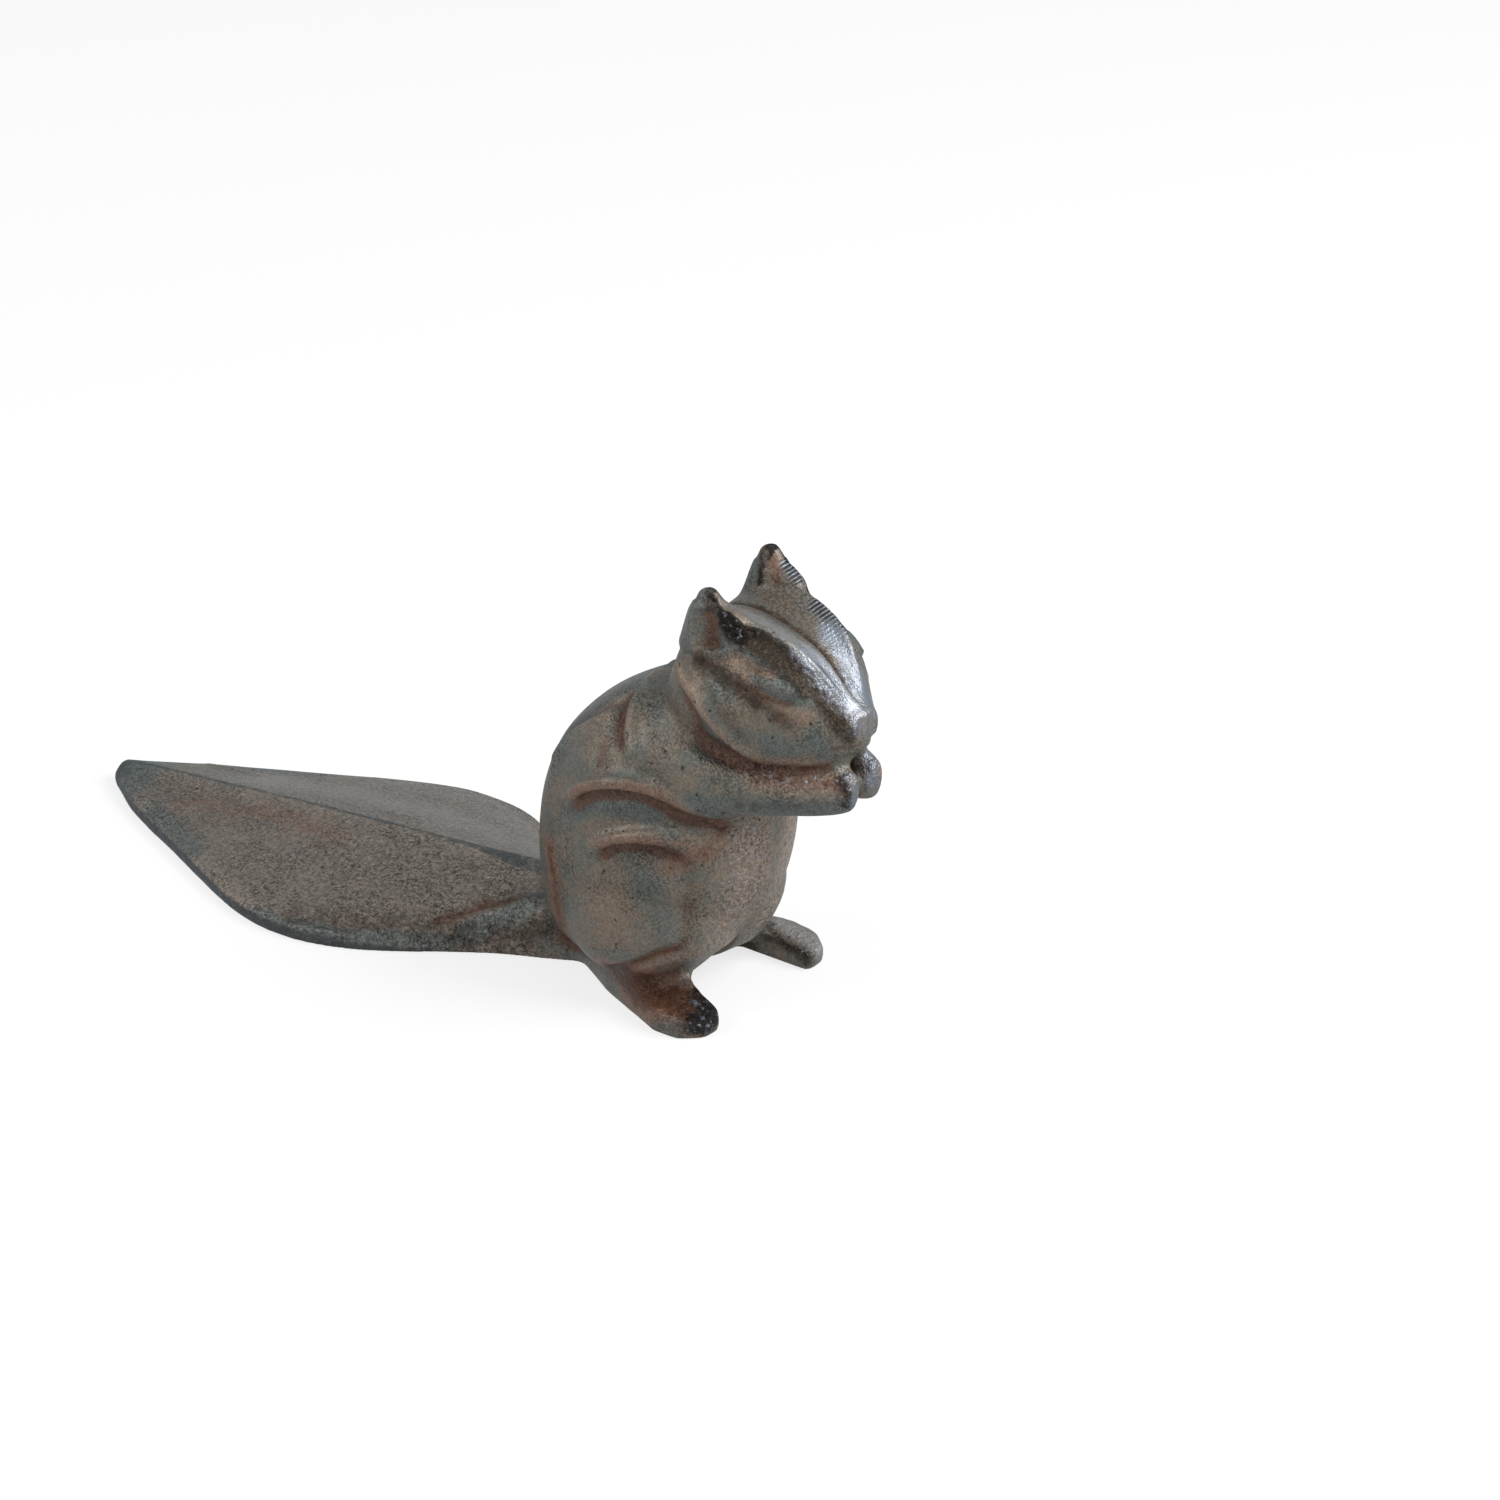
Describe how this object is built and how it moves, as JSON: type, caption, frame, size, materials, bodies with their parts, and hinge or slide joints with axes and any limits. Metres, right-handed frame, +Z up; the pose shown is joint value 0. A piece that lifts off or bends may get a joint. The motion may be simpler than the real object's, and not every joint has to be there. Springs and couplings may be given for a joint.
{
  "type": "door wedge",
  "caption": "Cast iron chipmunk door wedge: two hollow half castings joined on the middle plane, sitting up with paws to its mouth, with a flat ridged tail that slides under a door.",
  "frame": {"origin": "middle of the floor under the part, at the centre of its bounding box", "axes": "+X from the tail tip to the nose, +Y to the figure's left, +Z up from the floor"},
  "size_m": [0.194, 0.0716, 0.093],
  "materials": {
    "casting_iron": "sand cast, rust brown wash over dark blue-grey iron, file marks on the brow ridges",
    "screw_steel": "slotted steel screw under the same brown wash",
    "dowel_steel": "ground bright"
  },
  "bodies": {
    "root": {"right_half": "casting_iron", "left_half": "casting_iron", "tie_screw": "screw_steel", "head_dowel": "dowel_steel", "tail_dowel": "dowel_steel"}
  },
  "joints": []
}
